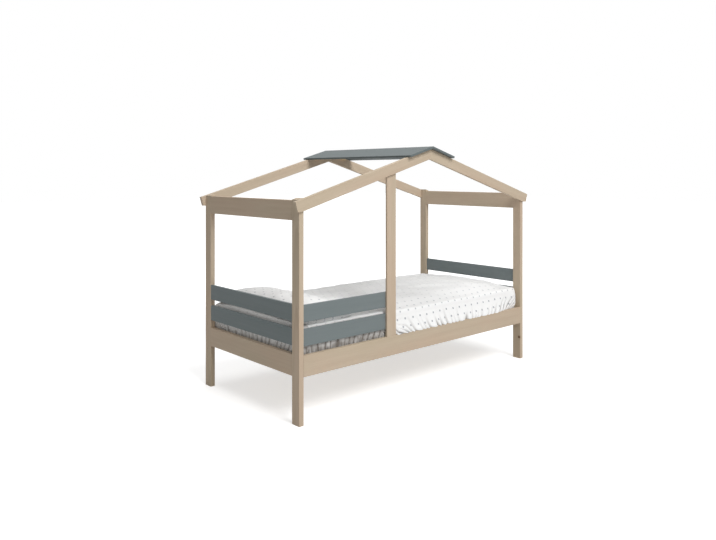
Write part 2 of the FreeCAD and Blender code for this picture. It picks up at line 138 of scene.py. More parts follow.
def new_material(name):
    return Graph(bpy.data.materials.new(name))


# ---------------------------------------------------------------- timber
ROOF_SLOPE = 16.25
GRAIN_TURN = {"x": (0.0, 0.0, 0.0), "y": (0.0, 0.0, -90.0), "z": (0.0, 90.0, 0.0),
              "up": (0.0, ROOF_SLOPE, 0.0), "down": (0.0, -ROOF_SLOPE, 0.0)}
RING_GAP = 0.005


def board_space(g, node, grain):
    """Place in the model, and place on a board from its middle, the grain along X."""
    place = g.add("TexCoord").outputs["Object"]
    low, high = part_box(node)
    centred = g.vector("SUBTRACT", place, tuple((low + high) / 2.0))
    turn = [math.radians(angle) for angle in GRAIN_TURN[grain]]
    along = g.add("Mapping", {"Vector": centred, "Rotation": turn}).outputs[0]
    return place, along


def timber(name, node, pale, dark, contrast, knots=()):
    """Sawn board: growth rings cut along the grain, fibre streaks and pores."""
    g = new_material(name)
    place, along = board_space(g, node, grain_of(node))
    start = float(rng.uniform(-9.0, 9.0))
    moved = g.vector("ADD", along, (start, 0.0, 0.0))
    # distance from the pith of the log, which runs slightly askew to the board
    side = float(rng.uniform(-0.05, 0.05))
    deep = float(rng.uniform(0.035, 0.11)) * (1.0 if rng.random() < 0.5 else -1.0)
    skew = float(rng.uniform(0.004, 0.014)) * (1.0 if rng.random() < 0.5 else -1.0)
    wander = g.noise(g.scaled(moved, (1.3, 7.0, 7.0)), 1.0, 2.0)
    parts = g.add("SeparateXYZ", {0: along})
    across = g.math("ADD", g.math("ADD", parts.outputs[1], side),
                    g.math("MULTIPLY", parts.outputs[0], skew))
    depth = g.math("ADD", g.math("ADD", parts.outputs[2], deep),
                   g.math("MULTIPLY", parts.outputs[0], skew * 0.6))
    square = g.math("ADD", g.math("MULTIPLY", across, across), g.math("MULTIPLY", depth, depth))
    radius = g.math("ADD", g.math("SQRT", square), g.math("MULTIPLY", wander, 0.014))
    phase = g.math("FRACT", g.math("DIVIDE", radius, RING_GAP))
    late = g.math("SUBTRACT", g.ramp(phase, 0.20, 0.86), g.ramp(phase, 0.88, 1.0))
    fibre = g.noise(g.scaled(moved, (7.0, 420.0, 420.0)), 1.0, 3.0, 0.6)
    streak = g.noise(g.scaled(moved, (1.7, 46.0, 46.0)), 1.0, 3.0, 0.55)
    patch = g.noise(g.scaled(moved, (1.4, 5.0, 5.0)), 1.0, 2.0)
    tone = g.math("ADD", g.math("MULTIPLY", late, 0.24), g.math("MULTIPLY", fibre, 0.42))
    tone = g.math("ADD", tone, g.math("MULTIPLY", streak, 0.62))
    tone = g.math("MULTIPLY", g.math("SUBTRACT", tone, 0.36), contrast, clamp=True)
    colour = g.mix(tone, pale, dark)
    warm = g.math("MULTIPLY", g.ramp(patch, 0.42, 0.66), 0.22)
    colour = g.mix(warm, colour, srgb(200, 170, 148))
    cool = g.math("MULTIPLY", g.ramp(patch, 0.52, 0.32), 0.22)
    colour = g.mix(cool, colour, srgb(184, 174, 146))
    for centre, size in knots:
        offset = g.vector("SUBTRACT", place, centre)
        distance = g.add("VectorMath", {0: offset}, operation="LENGTH").outputs["Value"]
        wobble = g.math("MULTIPLY", g.noise(place, 90.0, 2.0), 0.5 * size)
        ring = g.math("ADD", distance, wobble)
        heart = g.ramp(ring, size * 1.35, size * 0.85)
        halo = g.math("MULTIPLY", g.ramp(ring, size * 2.6, size * 1.0), 0.45)
        colour = g.mix(halo, colour, srgb(150, 118, 88))
        colour = g.mix(heart, colour, srgb(82, 58, 40))
    pores = g.noise(g.scaled(moved, (38.0, 900.0, 900.0)), 1.0, 1.0)
    colour = g.mix(g.math("MULTIPLY", g.ramp(pores, 0.64, 0.74), 0.22), colour, dark)
    rough = g.math("ADD", g.math("MULTIPLY", fibre, 0.14), 0.49)
    height = g.math("SUBTRACT", g.math("MULTIPLY", fibre, 0.5), g.math("MULTIPLY", late, 0.3))
    return g.finish(colour, rough, height, 0.0003, 0.55, Specular_IOR_Level=0.12)


def stain(name, node, depth):
    """Grey stained board: the fibres show faintly through the colour; a depth below 1 darkens the
    whole colour as a painted shade.
    """
    g = new_material(name)
    along = board_space(g, node, grain_of(node))[1]
    moved = g.vector("ADD", along, (float(rng.uniform(-9.0, 9.0)), 0.0, 0.0))
    fibre = g.noise(g.scaled(moved, (6.0, 380.0, 380.0)), 1.0, 3.0, 0.6)
    streak = g.noise(g.scaled(moved, (1.8, 34.0, 34.0)), 1.0, 3.0, 0.55)
    cloud = g.noise(moved, 3.5, 2.0)
    tone = g.math("ADD", g.math("MULTIPLY", fibre, 0.5), g.math("MULTIPLY", streak, 0.6))
    tone = g.math("SUBTRACT", tone, 0.3, clamp=True)
    colour = g.mix(g.math("MULTIPLY", tone, 0.75), srgb(125, 133, 134), srgb(103, 112, 113))
    colour = g.mix(g.math("MULTIPLY", g.ramp(cloud, 0.35, 0.7), 0.12), colour,
                   srgb(114, 127, 126))
    # painted shade: the colour is scaled by depth (0.75 on the roof boards, 1 on the guards)
    colour = g.mix(1.0, colour, (depth, depth, depth, 1.0), "MULTIPLY")
    rough = g.math("ADD", g.math("MULTIPLY", fibre, 0.16), 0.46)
    return g.finish(colour, rough, g.math("ADD", fibre, streak), 0.0002, 0.35,
                    Specular_IOR_Level=0.12)


PINE_PALE, PINE_DARK = srgb(203, 187, 166), srgb(171, 150, 126)
BARE_PALE, BARE_DARK = srgb(221, 198, 160), srgb(196, 162, 116)
# the roof boards have the guards' grey stain; their lower factor is a painted shade
ROOF_PAINTED_SHADE, GUARD_STAIN = 0.75, 1.0
KNOTS = {"post_front_right": [((0.960, -0.470, 0.150), 0.008)]}


def grain_of(node):
    if node.startswith(("post", "middle_post", "bed_")):
        return "z"
    if node.startswith(("end_", "slat_0", "slat_1", "roof_board")):
        return "y"
    if node.startswith(("rafter_front_left", "rafter_rear_left")):
        return "up"
    if node.startswith(("rafter_front_right", "rafter_rear_right")):
        return "down"
    if node.startswith("roof_cleat"):
        return "up" if node.endswith("left") else "down"
    return "x"


def plated_steel():
    g = new_material("zinc_plate")
    place = g.add("TexCoord").outputs["Object"]
    spangle = g.noise(place, 700.0, 2.0)
    colour = g.mix(spangle, srgb(176, 178, 182), srgb(206, 208, 210))
    rough = g.math("ADD", g.math("MULTIPLY", spangle, 0.2), 0.28)
    return g.finish(colour, rough, spangle, 0.0001, 0.2, Metallic=1.0)


def webbing():
    g = new_material("webbing")
    place = g.add("TexCoord").outputs["Object"]
    parts = g.add("SeparateXYZ", {0: place})
    warp = g.math("SINE", g.math("MULTIPLY", parts.outputs[0], 3600.0))
    weft = g.math("SINE", g.math("MULTIPLY", parts.outputs[1], 5200.0))
    weave = g.math("MULTIPLY", warp, weft)
    colour = g.mix(g.ramp(weave, -1.0, 1.0), srgb(205, 202, 194), srgb(232, 230, 224))
    return g.finish(colour, 0.85, weave, 0.0003, 0.6, Sheen_Weight=0.2)


def dress_solids():
    """Give every solid that shows as it is the material of its slot."""
    shared = {"steel_fitting": plated_steel(), "webbing": webbing()}
    slots = {row["node"]: row["material_slot"] for row in frame["record"]["subparts"]}
    for node, piece in frame["nodes"].items():
        kind = slots[node]
        if kind == "grey_board":
            depth = ROOF_PAINTED_SHADE if node.startswith("roof_board") else GUARD_STAIN
            material = stain("stain_" + node, node, depth)
        elif kind in shared:
            material = shared[kind]
        elif kind in ("base_wood", "dowel_wood"):
            material = timber("bare_" + node, node, BARE_PALE, BARE_DARK, 1.1)
        else:
            material = timber("pine_" + node, node, PINE_PALE, PINE_DARK, 1.0,
                              KNOTS.get(node, ()))
        piece.data.materials.clear()
        piece.data.materials.append(material)


# ---------------------------------------------------------------- soft goods
def rounded_slab(name, low, high, corner, top_round, foot_round, step, crown, side_step):
    """Closed padded slab with a crowned top and a rounded edge.

    Returns the object, and for every point its depth (0 on the top, 0.5 where the
    side starts, 1 at the foot), its outward direction in plan and the place it
    would have in plan if the cloth of the sides were laid flat.
    """
    half = np.array([(high[0] - low[0]) / 2.0, (high[1] - low[1]) / 2.0])
    middle = np.array([(high[0] + low[0]) / 2.0, (high[1] + low[1]) / 2.0])
    turns = np.radians(np.linspace(0.0, 90.0, 7))

    def lines(h):
        edge = top_round * (1.0 - np.cos(turns))
        count = int(round(2.0 * (h - top_round) / step))
        inner = np.linspace(-h + top_round, h - top_round, count + 1)[1:-1]
        return np.concatenate([-h + edge, inner, (h - edge)[::-1]])

    xs, ys = lines(half[0]), lines(half[1])
    nx, ny = len(xs), len(ys)

    def plan(x, y):
        """Place and outward direction on the rounded rectangle, of a place on the square."""
        hx, hy = half[0], half[1]
        a = max(abs(x) - (hx - corner), 0.0) / corner
        b = max(abs(y) - (hy - corner), 0.0) / corner
        sx, sy = math.copysign(1.0, x), math.copysign(1.0, y)
        if a > 0.0 and b > 0.0:
            reach = max(a, b)
            length = math.hypot(a, b)
            a, b = a / length, b / length
            px = (hx - corner + corner * reach * a) * sx
            py = (hy - corner + corner * reach * b) * sy
            return px, py, a * sx, b * sy
        if hx - abs(x) < hy - abs(y):
            return x, y, sx, 0.0
        return x, y, 0.0, sy

    def drop(inset, radius):
        """Fall of a quarter-round edge at a distance inside the outline."""
        if inset >= radius:
            return 0.0
        return radius - math.sqrt(max(radius ** 2 - (radius - inset) ** 2, 0.0))

    points, lay, depth, out = [], [], [], []
    top_index = np.zeros((nx, ny), int)
    foot_index = np.zeros((nx, ny), int)
    for i, x in enumerate(xs):
        for j, y in enumerate(ys):
            px, py, ox, oy = plan(x, y)
            inset = min(half[0] - abs(x), half[1] - abs(y))
            crowned = high[2] - crown * (py / half[1]) ** 2
            z = crowned - drop(inset, top_round)
            turned = math.acos(min(max(1.0 - inset / top_round, 0.0), 1.0))
            over = top_round * (math.pi / 2.0 - turned) - max(top_round - inset, 0.0)
            top_index[i, j] = len(points)
            points.append((px + middle[0], py + middle[1], z))
            lay.append((px + ox * over, py + oy * over))
            depth.append(0.0 if inset >= top_round else (top_round - inset) / top_round * 0.5)
            out.append((ox, oy))
    rim = [(i, 0) for i in range(nx)] + [(nx - 1, j) for j in range(1, ny)]
    rim += [(i, ny - 1) for i in range(nx - 2, -1, -1)] + [(0, j) for j in range(ny - 2, 0, -1)]
    rim_z = [points[top_index[i, j]][2] for i, j in rim]
    rows = int(round((min(rim_z) - low[2] - foot_round) / side_step))
    loops = [[top_index[i, j] for i, j in rim]]
    length_over = top_round * (math.pi / 2.0 - 1.0)
    for row in range(1, rows + 1):
        loop = []
        for (i, j), z_top in zip(rim, rim_z):
            px, py, ox, oy = plan(xs[i], ys[j])
            part = row / rows
            z = z_top + (low[2] + foot_round - z_top) * part
            loop.append(len(points))
            points.append((px + middle[0], py + middle[1], z))
            run = length_over + (z_top - z)
            lay.append((px + ox * run, py + oy * run))
            depth.append(0.5 + 0.5 * part)
            out.append((ox, oy))
        loops.append(loop)
    for i, x in enumerate(xs):
        for j, y in enumerate(ys):
            px, py, ox, oy = plan(x, y)
            inset = min(half[0] - abs(x), half[1] - abs(y))
            foot_index[i, j] = len(points)
            z = low[2] + drop(min(inset, foot_round), foot_round)
            points.append((px + middle[0], py + middle[1], z))
            lay.append((px, py))
            depth.append(1.0)
            out.append((ox, oy))
    faces = []
    for i in range(nx - 1):
        for j in range(ny - 1):
            faces.append((top_index[i, j], top_index[i + 1, j],
                          top_index[i + 1, j + 1], top_index[i, j + 1]))
            faces.append((foot_index[i, j], foot_index[i, j + 1],
                          foot_index[i + 1, j + 1], foot_index[i + 1, j]))
    last = [foot_index[i, j] for i, j in rim]
    for upper, lower in zip(loops[:-1], loops[1:]):
        for k in range(len(rim)):
            m = (k + 1) % len(rim)
            faces.append((upper[m], upper[k], lower[k], lower[m]))
    for k in range(len(rim)):
        m = (k + 1) % len(rim)
        faces.append((loops[-1][m], loops[-1][k], last[k], last[m]))
    mesh = bpy.data.meshes.new(name)
    mesh.from_pydata([tuple(p) for p in points], [], faces)
    mesh.validate()
    store = mesh.attributes.new("lay", "FLOAT_VECTOR", "POINT")
    flat = np.array([(a, b, 0.0) for a, b in lay], np.float32)
    store.data.foreach_set("vector", flat.ravel())
    piece = bpy.data.objects.new(name, mesh)
    bpy.context.scene.collection.objects.link(piece)
    return piece, np.array(depth), np.array(out), np.array(lay)


def read_points(piece):
    co = np.zeros(len(piece.data.vertices) * 3)
    piece.data.vertices.foreach_get("co", co)
    return co.reshape(-1, 3)


def write_points(piece, co):
    piece.data.vertices.foreach_set("co", np.ascontiguousarray(co, np.float32).ravel())
    piece.data.update()


def waves(x, y, count, low, high, seed):
    """Smooth random field: a sum of plane waves with wave lengths from low to high."""
    made = np.random.default_rng(seed)
    total = np.zeros_like(x)
    for _n in range(count):
        heading = made.uniform(0.0, 2.0 * math.pi)
        length = made.uniform(low, high)
        phase = made.uniform(0.0, 2.0 * math.pi)
        total += np.sin((x * math.cos(heading) + y * math.sin(heading)) * 2.0 * math.pi
                        / length + phase)
    return total / math.sqrt(count)


def smooth(low, high, x):
    t = np.clip((x - low) / (high - low), 0.0, 1.0)
    return t * t * (3.0 - 2.0 * t)


CLOTH_FRAMES = 12
CLOTH_STIFFNESS = 6.0


def cloth_relax(piece, pinned, pressure, cap):
    """Swell a closed padded piece with Cloth; no point moves further than cap."""
    before = read_points(piece)
    group = piece.vertex_groups.new(name="held")
    for weight in np.unique(np.round(pinned, 2)):
        if weight > 0.0:
            picked = np.nonzero(np.round(pinned, 2) == weight)[0].tolist()
            group.add(picked, float(weight), "REPLACE")
    modifier = piece.modifiers.new("Cloth", "CLOTH")
    cloth = modifier.settings
    cloth.quality = 5
    cloth.mass = 0.25
    cloth.tension_stiffness = CLOTH_STIFFNESS
    cloth.compression_stiffness = CLOTH_STIFFNESS
    cloth.shear_stiffness = 4.0
    cloth.bending_stiffness = 0.6
    cloth.use_pressure = True
    cloth.uniform_pressure_force = pressure
    cloth.vertex_group_mass = "held"
    cloth.effector_weights.gravity = 0.0
    modifier.collision_settings.use_collision = False
    modifier.point_cache.frame_start = 1
    modifier.point_cache.frame_end = CLOTH_FRAMES
    scene = bpy.context.scene
    for number in range(1, CLOTH_FRAMES + 1):
        scene.frame_set(number)
    graph = bpy.context.evaluated_depsgraph_get()
    settled = piece.evaluated_get(graph).to_mesh()
    after = np.zeros(len(settled.vertices) * 3)
    settled.vertices.foreach_get("co", after)
    after = after.reshape(-1, 3).copy()
    piece.evaluated_get(graph).to_mesh_clear()
    piece.modifiers.remove(modifier)
    scene.frame_set(1)
    move = after - before
    size = np.linalg.norm(move, axis=1, keepdims=True)
    move *= np.minimum(1.0, cap / np.maximum(size, 1e-9))
    write_points(piece, before + move)


def smooth_and_dress(piece, material):
    modifier = piece.modifiers.new("Subdivision", "SUBSURF")
    modifier.levels = 1
    modifier.render_levels = 1
    piece.data.shade_smooth()
    piece.data.materials.append(material)


DOT_GAP = (0.063, 0.097)       # along a row, and over two rows
WEAVE = 0.0011


def dotted_cloth(name, first, dot):
    """Cotton with staggered rows of small grey dots, one of them at first.

    The point attribute ink gives the dots' strength; the other point attribute is a painted
    shade, darker in folds, in the slots between boards and on the pillow's low sides.
    """
    g = new_material(name)
    lay = g.add("Attribute", attribute_name="lay").outputs["Vector"]
    moved = lay
    for scale, reach in ((2.6, 0.034), (9.0, 0.012)):
        drift = g.add("TexNoise", {"Vector": lay, "Scale": scale, "Detail": 1.0}).outputs["Color"]
        offset = g.scaled(g.vector("SUBTRACT", drift, (0.5, 0.5, 0.5)), (reach, reach, 0.0))
        moved = g.vector("ADD", moved, offset)
    nearest = None
    for shift in (0.5, 1.0):
        start = tuple(40.0 + shift - place / gap for place, gap in zip(first, DOT_GAP))
        cell = g.vector("ADD", g.scaled(moved, (1.0 / DOT_GAP[0], 1.0 / DOT_GAP[1], 0.0)),
                        (*start, 0.0))
        local = g.vector("SUBTRACT", g.vector("FRACTION", cell), (0.5, 0.5, 0.0))
        local = g.scaled(local, (*DOT_GAP, 0.0))
        gap = g.add("VectorMath", {0: local}, operation="LENGTH").outputs["Value"]
        nearest = gap if nearest is None else g.math("MINIMUM", nearest, gap)
    dots = g.ramp(nearest, dot * 1.25, dot * 0.75)
    parts = g.add("SeparateXYZ", {0: lay})
    turn = 2.0 * math.pi / WEAVE
    warp = g.math("SINE", g.math("MULTIPLY", parts.outputs[0], turn))
    weft = g.math("SINE", g.math("MULTIPLY", parts.outputs[1], turn))
    cloth = g.math("MULTIPLY", warp, weft)
    slub = g.noise(g.scaled(lay, (60.0, 600.0, 1.0)), 1.0, 3.0)
    tone = g.noise(lay, 5.0, 3.0)
    colour = g.mix(g.math("MULTIPLY", tone, 0.5), srgb(251, 251, 250), srgb(243, 243, 243))
    colour = g.mix(g.math("MULTIPLY", slub, 0.14), colour, srgb(226, 226, 227))
    print_depth = g.add("Attribute", attribute_name="ink").outputs["Fac"]
    colour = g.mix(g.math("MULTIPLY", dots, print_depth), colour, srgb(152, 155, 163))
    painted_shade = g.add("Attribute", attribute_name="painted_shade").outputs["Fac"]
    # painted shade: the cloth is mixed towards dark brown-grey where the shade attribute is high
    colour = g.mix(g.math("MULTIPLY", painted_shade, 0.88), colour, srgb(98, 88, 78))
    height = g.math("ADD", g.math("MULTIPLY", cloth, 0.10), g.math("MULTIPLY", slub, 0.25))
    crumple = g.noise(g.scaled(lay, (26.0, 19.0, 1.0)), 1.0, 3.0, 0.55)
    height = g.math("ADD", height, g.math("MULTIPLY", crumple, 3.2))
    return g.finish(colour, 0.9, height, 0.0012, 0.5, Sheen_Weight=0.35,
                    Sheen_Roughness=0.5, Specular_IOR_Level=0.1)


def ticking():
    """Knitted mattress ticking, quilted in diamonds."""
    g = new_material("ticking")
    lay = g.add("Attribute", attribute_name="lay").outputs["Vector"]
    parts = g.add("SeparateXYZ", {0: lay})
    knit = g.math("MULTIPLY", g.math("SINE", g.math("MULTIPLY", parts.outputs[0], 3500.0)),
                  g.math("SINE", g.math("MULTIPLY", parts.outputs[1], 2600.0)))
    tone = g.noise(lay, 8.0, 2.0)
    colour = g.mix(tone, srgb(236, 234, 228), srgb(222, 219, 212))
    up = g.math("ADD", parts.outputs[0], parts.outputs[1])
    down = g.math("SUBTRACT", parts.outputs[0], parts.outputs[1])
    quilt = None
    for diagonal in (up, down):
        wave = g.math("ABSOLUTE", g.math("SINE", g.math("MULTIPLY", diagonal, 22.0)))
        quilt = wave if quilt is None else g.math("MINIMUM", quilt, wave)
    stitch = g.ramp(quilt, 0.0, 0.5)
    height = g.math("ADD", g.math("MULTIPLY", knit, 0.06), stitch)
    return g.finish(colour, 0.88, height, 0.004, 0.7, Sheen_Weight=0.1)


SHOULDER = 0.036               # rounding of the cover's top edge
CROWN = 0.004
COVER_ENDS = (-0.9520, 0.9585)
COVER_SIDES = (-0.4490, 0.4550)
END_REACH = 0.9610             # as far as the cloth may go: to the posts,
REAR_REACH = 0.4582            # to the rear rail,
GUARD_REACH = -0.4522          # to the front guards,
POST_REACH = -0.4610           # beside the foot end's front post
OVER_REACH = -0.4870           # and over the front rail, where it is open
RAIL_FACE = -0.4806
RAIL_BACK = -0.4545
RESTING = 0.0014               # the cloth lies this much above the rail's top
BEHIND_GUARDS = -0.36          # the front guards hide the cover's front up to here
# middle, half length and strength of the bunches of folds along the open front
BUNCHES = ((-0.22, 0.10, 1.0), (0.10, 0.08, 0.75), (0.37, 0.05, 0.6), (0.76, 0.13, 0.8))


def bell(x, middle, half):
    return np.exp(-((x - middle) / half) ** 2)


def puff(x, y):
    """Swelling of the cover beside the pillow: rounded to the front, flatter behind."""
    crest = -0.08 - 0.45 * np.clip(x - 0.25, 0.0, 0.6)
    near = np.clip((crest - y) / (crest + 0.445), 0.0, 1.0)
    far = np.clip((y - crest) / (0.445 - crest), 0.0, 1.0)
    rise = 1.0 - near ** 2 - (np.sqrt(far ** 2 + 0.0064) - 0.08) / 0.923
    foot_end = smooth(0.66, 0.92, x)
    full = 0.011 * (1.0 - smooth(0.12, 0.40, y)) - 0.026 * smooth(0.20, 0.40, -y)
    roll = 0.017 * smooth(0.28, 0.45, -y) * smooth(-0.34, -0.24, x)
    return (0.030 * rise * smooth(-0.60, -0.35, x) - roll) * (1.0 - foot_end) + full * foot_end


def lean_front(x):
    """Run of a fold along X for each metre of height, over the open front."""
    lean = np.where(x > 0.27, 2.1, 1.45) * (x - 0.27)
    return lean - 1.0 * (1.0 - smooth(-0.27, -0.15, x))


def gathered(place, height, seed):
    """Large and small gathers of the hem: 0 in the creases, 1 on the lobes, and their runs."""
    line = np.zeros_like(place)
    wander = 0.9 * waves(place, line, 6, 0.07, 0.16, seed)
    wander += 0.8 * waves(place, line, 4, 0.2, 0.5, seed + 5)
    large = np.abs(np.sin(math.pi * place / 0.044 + wander)) ** 0.6
    wander = 1.3 * waves(place, line, 6, 0.05, 0.12, seed + 1)
    small = np.abs(np.sin(math.pi * place / 0.0195 + wander))
    tall = 0.5 + 0.36 * waves(place, line, 7, 0.05, 0.30, seed + 2)
    large_run = 1.0 - smooth(0.010, 0.050 + 0.075 * np.clip(tall, 0.0, 1.0), height)
    small_run = 1.0 - smooth(0.000, 0.030 + 0.045 * np.clip(1.0 - tall, 0.0, 1.0), height)
    return large, small ** 0.7, large_run, small_run


# The open front's hem in section, from HEM_TOP above the rail down to its tucked edge:
# share of the way down, and rise over the rail and reach forward on a lobe and in a crease.
HEM_TOP = 0.100
TUCKED = (COVER_LOW.z - HEM_LINE, 0.0)
HEM_ROWS = (0.0, 0.20, 0.36, 0.47, 0.53, 0.59, 0.65, 0.71, 0.77, 0.88, 0.93, 1.0)
HEM_LOBE = ((HEM_TOP, 0.0), (0.062, 0.0100), (0.032, 0.0225), (0.014, 0.0315),
            (0.005, 0.0348), (-0.001, 0.0352), (-0.0028, 0.0342), (-0.0018, 0.0326),
            (0.0018, 0.0300), (RESTING, 0.0055), (-0.008, 0.0020), TUCKED)
HEM_CREASE = ((HEM_TOP, 0.0), (0.062, 0.0040), (0.032, 0.0095), (0.014, 0.0150),
              (0.006, 0.0170), (0.0026, 0.0168), (0.0022, 0.0160), (0.0020, 0.0150),
              (0.0016, 0.0135), (RESTING, 0.0055), (-0.008, 0.0020), TUCKED)


def draped_hem(y, z, lobe):
    """The open front's hem: lobes hang over the rail's edge, creases lie on its top.

    Returns the new Y and Z and how much longer the cloth's way down has become.
    """
    top = HEM_LINE + HEM_TOP
    share = np.clip((top - z) / (top - COVER_LOW.z), 0.0, 1.0)
    ways = [[np.interp(share, HEM_ROWS, column) for column in zip(*rows)]
            for rows in (HEM_CREASE, HEM_LOBE)]
    rise = ways[0][0] + (ways[1][0] - ways[0][0]) * lobe
    reach = ways[0][1] + (ways[1][1] - ways[0][1]) * lobe
    resting = (share > 0.45) & (share < 0.90) & (y - reach > RAIL_FACE)
    rise = np.where(resting, np.maximum(rise, RESTING), rise)
    steps = np.hypot(*np.diff(np.array(HEM_LOBE), axis=0).T)
    length = np.concatenate([[0.0], np.cumsum(steps)])
    longer = np.interp(share, HEM_ROWS, length) - share * (top - COVER_LOW.z)
    return (np.where(z > top, y, y - reach), np.where(z > top, z, HEM_LINE + rise),
            np.where(z > top, 0.0, longer))


def shade_behind_guards(co, front_left, left_end, large):
    """Soft shade of the cloth in the slots between the guard boards."""
    x, z = co[:, 0], co[:, 2]
    above_strip = smooth(0.455, 0.475, z)
    slot = (1.0 - smooth(LOWER_GUARD_TOP - 0.001, LOWER_GUARD_TOP + 0.013, z)) * above_strip
    corner = bell(x, -0.700, 0.010) * smooth(0.470, 0.490, z)
    strip = (1.0 - 0.35 * smooth(0.010, 0.040, z - HEM_LINE)) * (1.0 - smooth(0.425, 0.455, z))
    strip *= 0.80 + 0.20 * smooth(0.60, 0.15, large)
    crumple = waves(x + 0.6 * z, 1.4 * z, 7, 0.045, 0.120, 63)
    strip *= np.clip(0.90 + 0.20 * crumple, 0.45, 1.15)
    shade = np.where(front_left, np.maximum.reduce([0.55 * slot, 0.6 * corner, strip]), 0.0)
    end = 0.30 + 0.25 * smooth(0.515, 0.500, z)
    return np.where(left_end & ~front_left, end * above_strip, shade)


def write_shade(piece, name, values):
    store = piece.data.attributes.new(name, "FLOAT", "POINT")
    store.data.foreach_set("value", np.ascontiguousarray(values, np.float32))


def swell_cover(piece, depth):
    """Puff the cover's top, crease it a little and let the cloth settle."""
    co = read_points(piece)
    x, y = co[:, 0], co[:, 1]
    top = 1.0 - smooth(0.05, 0.7, depth)
    swell = 0.0024 * waves(x, y, 9, 0.10, 0.34, 21) * top
    creases = waves(x + 0.03 * waves(x, y, 4, 0.2, 0.5, 2), y, 7, 0.07, 0.2, 9)
    swell -= 0.0022 * smooth(0.5, 1.6, np.abs(creases)) * top
    co[:, 2] += swell + puff(x, y) * (1.0 - smooth(0.0, 0.5, depth)) - 0.001 * top
    write_points(piece, co)
    cloth_relax(piece, smooth(0.80, 1.0, depth), 3.0, 0.006)


def keep_in_reach(co, opened, corner):
    """Keep the cloth off the boards round it and on the front rail's top."""
    front_reach = np.where(corner > 0.0, POST_REACH, GUARD_REACH)
    front_reach = np.where(opened > 0.02, OVER_REACH, front_reach)
    co[:, 1] = np.clip(co[:, 1], front_reach, REAR_REACH)
    co[:, 0] = np.clip(co[:, 0], -END_REACH, END_REACH)
    y, z = co[:, 1], co[:, 2]
    over = (opened > 0.02) & (y > RAIL_FACE) & (y < RAIL_BACK) & (z > HEM_LINE - 0.006)
    co[:, 2] = np.where(over, np.maximum(z, HEM_LINE + RESTING), z)


def build_cover():
    """The padded cover, tucked in all round, with gathers above the rails."""
    low, high = COVER_LOW.copy(), COVER_HIGH.copy()
    low.x, high.x = COVER_ENDS
    low.y, high.y = COVER_SIDES
    step = 0.0068
    piece, depth, out, lay = rounded_slab("padded_cover", low, high, corner=0.038,
                                          top_round=SHOULDER, foot_round=0.006, step=step,
                                          crown=CROWN, side_step=step * 0.65)
    swell_cover(piece, depth)
    co = read_points(piece)
    x, y, z = co.T                 # views: they follow every change of co
    long_side = np.abs(out[:, 1]) > np.abs(out[:, 0])
    front = long_side & (y < 0.0) & (depth > 0.4)
    opened = front * smooth(-0.2820, -0.2600, x) * (1.0 - smooth(0.68, 0.93, x))
    height = np.maximum(z - HEM_LINE, -0.03)
    left_part = x < BEHIND_GUARDS

    # place along the hem where the fold through each point has its foot
    foot = x - height * np.where(left_part, 1.2 * (x + 0.75), lean_front(x))
    foot = np.where(long_side, foot, y - height * 1.6 * y + 3.0 * np.sign(x))
    foot = np.where(y > 0.2, foot + 5.0, foot)
    large, small, large_run, small_run = gathered(foot, height, 41)
    strong = np.full_like(foot, 0.30)
    for middle, half, rise in BUNCHES:
        strong += rise * bell(foot, middle, half)
    strong = np.where(left_part | (y > 0.0) | ~long_side, 0.85, np.minimum(strong, 1.2))

    # gathers, and the fuller corner behind the pillow
    side = smooth(0.25, 0.62, depth)
    inward = (0.0066 * (1.0 - large) * large_run + 0.0032 * (1.0 - small) * small_run) * side
    inward *= np.minimum(strong + 0.2, 1.0)
    run = (0.0020 * large_run * large * side * strong - inward) * smooth(0.0, 0.02, z - low.z)
    run *= 1.0 - 0.6 * opened * (1.0 - smooth(0.004, 0.016, height))
    co[:, 0] += out[:, 0] * run
    co[:, 1] += out[:, 1] * run
    rear_corner = smooth(-0.915, -0.945, x) * smooth(0.405, 0.440, y) * side
    co[:, 0] -= 0.008 * rear_corner
    co[:, 1] += 0.008 * rear_corner

    # the hem over the front rail
    lobe = 1.0 - np.clip(1.1 * strong, 0.15, 1.0) * (1.0 - large) * large_run
    drape_y, drape_z, longer = draped_hem(y, z, lobe)
    flat = np.column_stack([lay[:, 0], lay[:, 1] - longer * opened, np.zeros(len(lay))])
    piece.data.attributes["lay"].data.foreach_set("vector", flat.astype(np.float32).ravel())
    co[:, 1] += (drape_y - y) * opened
    co[:, 2] += (drape_z - z) * opened
    corner = front * smooth(0.82, 0.93, x) * smooth(0.0, 0.02, height)
    corner *= 1.0 - smooth(0.08, 0.13, height)
    co[:, 1] -= 0.009 * corner
    keep_in_reach(co, opened, corner)
    write_points(piece, co)

    # painted shade in the folds, behind the guards and along the left end, and strength of the
    # dots
    crumple = np.clip(0.85 + 0.25 * waves(foot, 1.3 * z, 7, 0.045, 0.120, 65), 0.35, 1.0)
    edge = np.where(left_part, 0.66, 0.86)
    painted_shade = smooth(edge, 0.22, large) * large_run + 0.5 * smooth(0.6, 0.1, small) * small_run
    painted_shade *= np.where(left_part | ~long_side, crumple, 1.0)
    # painted shade made darker still in the bunch of folds near x = -0.245
    deep = 1.0 + 0.9 * bell(foot, -0.245, 0.05) * opened
    painted_shade = painted_shade * side * strong * deep
    painted_shade += shade_behind_guards(co, left_part & front, x < -0.90, large)
    ink = smooth(0.30, 0.43, -y) * (x > BEHIND_GUARDS) * (0.30 + 0.22 * smooth(0.48, 0.44, z))
    write_shade(piece, "ink", 0.30 + ink)
    write_shade(piece, "painted_shade", np.clip(painted_shade, 0.0, 1.0))
    smooth_and_dress(piece, dotted_cloth("dotted_cover", (0.255, -0.5035), 0.0064))
    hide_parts("bedding_cover")
    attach(piece, "bedding")


def build_mattress():
    high = MATTRESS_HIGH.copy()
    high.z -= 0.012                # thinner than its solid, under the cover's own padding
    piece = rounded_slab("foam_mattress", MATTRESS_LOW, high, corner=0.056, top_round=0.016,
                         foot_round=0.014, step=0.03, crown=0.004, side_step=0.02)[0]
    smooth_and_dress(piece, ticking())
    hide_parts("mattress")
    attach(piece, "bedding")


